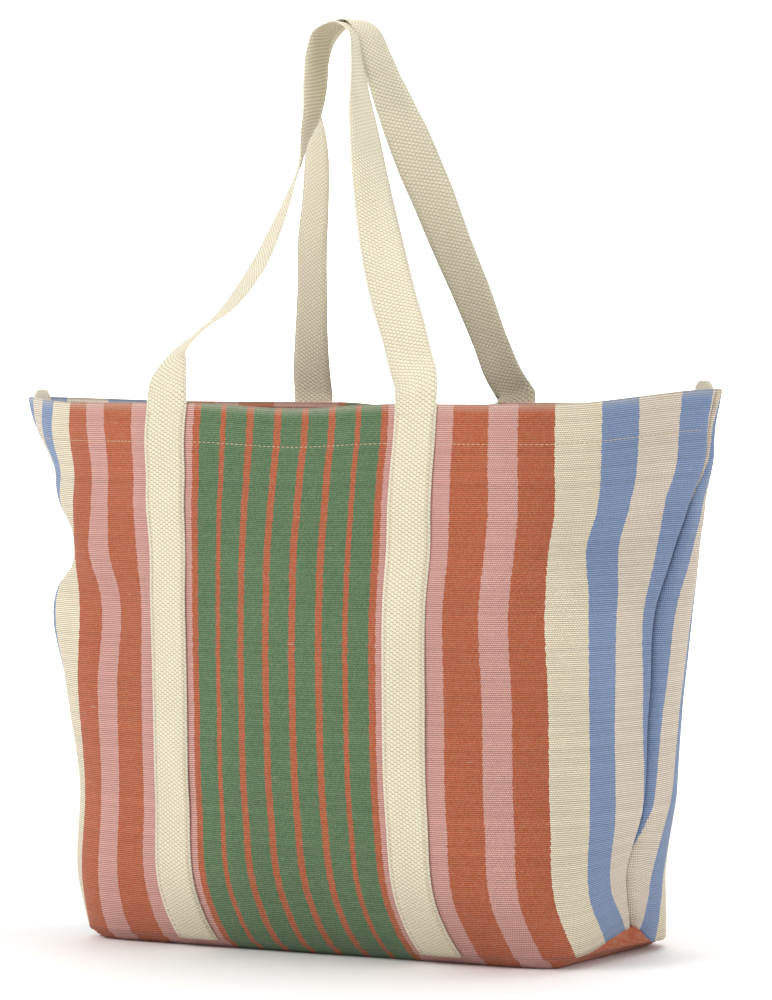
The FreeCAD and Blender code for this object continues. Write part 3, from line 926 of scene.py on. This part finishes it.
def make_stitches(name, places, node):
    """A row of stitches, each given as its centre, the way along the row and the way out."""
    vertices, faces, uvs = [], [], []
    for centre, along, out in places:
        add_stitch(vertices, faces, uvs, centre, along, out)
    piece = new_object(name, vertices, faces, uvs)
    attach(dress(piece, "thread"), "bag")
    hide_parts(node)


STITCH_INSET = 2.6 * MM
ROW_START = 4 * MM
ROW_END = 6 * MM
CROSS_STITCHES = 4
HEM_ROW_END = 9 * MM


def leg_stitches(wall, end, way):
    """Stitches up a sewn handle end, then half way across it at the rim."""
    places = []
    surface = CLOTH / 2 + WEBBING + CLEARANCE
    station = HANDLE_STATIONS[wall.name, end]
    s = end * station
    inset = WEBBING_WIDTH / 2 - STITCH_INSET
    height = BASE + ROW_START
    while height < RIM - ROW_END:
        point, across, out = wall.frame(s, height)
        lift = wrinkle(point, wall.side, station, height)
        along = across.cross(out)
        along *= math.copysign(1, along.z)
        places.append((point + across * (way * inset) + out * (surface + lift), along, out))
        height += STITCH_PITCH
    point, across, out = wall.frame(s, RIM - ROW_END)
    for k in range(CROSS_STITCHES):
        shift = way * (k + 0.5) * STITCH_PITCH
        places.append((point + across * shift + out * surface, across, out))
    return places


def hem_stitches(wall):
    """Stitches along the foot of the hem, left out where a handle is sewn over it."""
    places = []
    height = RIM - HEM_DEPTH
    reach = half_cloth(height) - HEM_ROW_END
    s = -reach
    while s < reach:
        station = HANDLE_STATIONS[wall.name, RIGHT if s > 0 else LEFT]
        if abs(abs(s) - station) > WEBBING_WIDTH / 2 + STITCH_LENGTH / 2:
            point, across, out = wall.frame(s, height)
            lift = wrinkle(point, wall.side, abs(s), height)
            places.append((point + out * (CLOTH / 2 + lift + CLEARANCE), across, out))
        s += STITCH_PITCH
    return places


for name in WALLS:
    make_stitches(f"{name}_hem_row", hem_stitches(walls[name]), f"{name}_hem_stitching")
    for end_name, end in ENDS.items():
        for way in (-1, 1):
            edge = "inner" if way == -end else "outer"
            node = f"{name}_handle_{end_name}_{edge}_stitching"
            make_stitches(f"{name}_{end_name}_{edge}_row", leg_stitches(walls[name], end, way),
                          node)


# ---------------------------------------------------------------- floor, light and camera

# The camera's place round the bag, in degrees from its front, then the level directions across
# and along its view.
VIEW_AZIMUTH = 29
VIEW_TURN = math.radians(VIEW_AZIMUTH)
ACROSS_VIEW = Vector((math.cos(VIEW_TURN), math.sin(VIEW_TURN), 0))
ALONG_VIEW = Vector((-math.sin(VIEW_TURN), math.cos(VIEW_TURN), 0))

# The sweep, in metres: how far it reaches before, behind and beside the bag, then how it rises.
SWEEP_BEFORE = 12.0
SWEEP_BEHIND = 7.5
SWEEP_HALF = 16.0
SWEEP_RADIUS = 2.5
SWEEP_TOP = 8.0
SWEEP_STEPS = 12
PAPER_COLOUR = (0.93, 0.93, 0.925, 1)


def make_floor():
    """A pale sweep: floor that curves up into a wall far behind the bag."""
    outline = [(-SWEEP_BEFORE, 0.0), (SWEEP_BEHIND, 0.0)]
    for k in range(1, SWEEP_STEPS + 1):
        angle = math.pi / 2 * k / SWEEP_STEPS
        outline.append((SWEEP_BEHIND + SWEEP_RADIUS * math.sin(angle),
                        SWEEP_RADIUS * (1 - math.cos(angle))))
    outline.append((SWEEP_BEHIND + SWEEP_RADIUS, SWEEP_TOP))
    points = [[ACROSS_VIEW * (side * SWEEP_HALF) + ALONG_VIEW * y + Vector((0, 0, z))
               for side in (-1, 1)] for y, z in outline]
    uvs = [[(0, 0), (1, 1)] for _ in outline]
    floor = grid("floor", points, uvs)
    f = Finish("pale_paper", roughness=0.85, sheen=0.0)
    coordinates = f.node("ShaderNodeTexCoord")
    patch = f.noise(coordinates.outputs["Object"], 1.5)
    colour = f.shade(PAPER_COLOUR, f.range(patch, 0.2, 0.8, 0.985, 1.0))
    floor.data.materials.append(f.finish(colour, patch, strength=0.02, distance=1 * MM))


VIEW_DISTANCE = 3.2
EYE_HEIGHT = 0.407
LENS = 162.4
SENSOR = 36
# How far the middle of the picture is from the bag's own axis and the horizon, as slopes.
AIM_RIGHT = 0.00133
AIM_DOWN = 0.0288


def make_camera():
    data = bpy.data.cameras.new("camera")
    data.lens = LENS
    data.sensor_width = SENSOR
    camera = bpy.data.objects.new("camera", data)
    camera.location = Vector((0, 0, EYE_HEIGHT)) - ALONG_VIEW * VIEW_DISTANCE
    aim = ALONG_VIEW + ACROSS_VIEW * AIM_RIGHT - Vector((0, 0, AIM_DOWN))
    camera.rotation_euler = aim.to_track_quat("-Z", "Y").to_euler()
    bpy.context.scene.collection.objects.link(camera)
    bpy.context.scene.camera = camera


WORLD_STRENGTH = 0.56

# Each light's place, what it is aimed at, its size in metres and its power in watts.
LIGHTS = {
    "key": (Vector((-1.2, -2.8, 2.3)), Vector((0, 0, 0.25)), 1.6, 68),
    "fill": (Vector((3.3, -0.3, 1.5)), Vector((0, 0, 0.3)), 1.4, 24),
    "top": (Vector((0.3, 0.6, 2.8)), Vector((0, 0, 0.3)), 1.8, 30),
    "backdrop": (ALONG_VIEW * 4.5 + Vector((0, 0, 3.4)),
                 ALONG_VIEW * 9.5 + Vector((0, 0, 0.9)), 3.0, 1100),
    "far_floor": (ALONG_VIEW * 2.8 + Vector((0, 0, 3.0)), ALONG_VIEW * 6.6, 2.5, 300),
}


def make_light(name, place, target, size, power):
    """A round soft light that faces its target."""
    data = bpy.data.lights.new(name, "AREA")
    data.shape = "DISK"
    data.size = size
    data.energy = power
    light = bpy.data.objects.new(name, data)
    light.location = place
    light.rotation_euler = (target - place).to_track_quat("-Z", "Y").to_euler()
    bpy.context.scene.collection.objects.link(light)


def make_studio():
    scene = bpy.context.scene
    scene.view_settings.view_transform = "Standard"
    world = bpy.data.worlds.new("studio")
    world.use_nodes = True
    background = world.node_tree.nodes["Background"]
    background.inputs["Color"].default_value = (1.0, 1.0, 1.0, 1)
    background.inputs["Strength"].default_value = WORLD_STRENGTH
    scene.world = world
    for name, facts in LIGHTS.items():
        make_light(name, *facts)


make_floor()
make_camera()
make_studio()
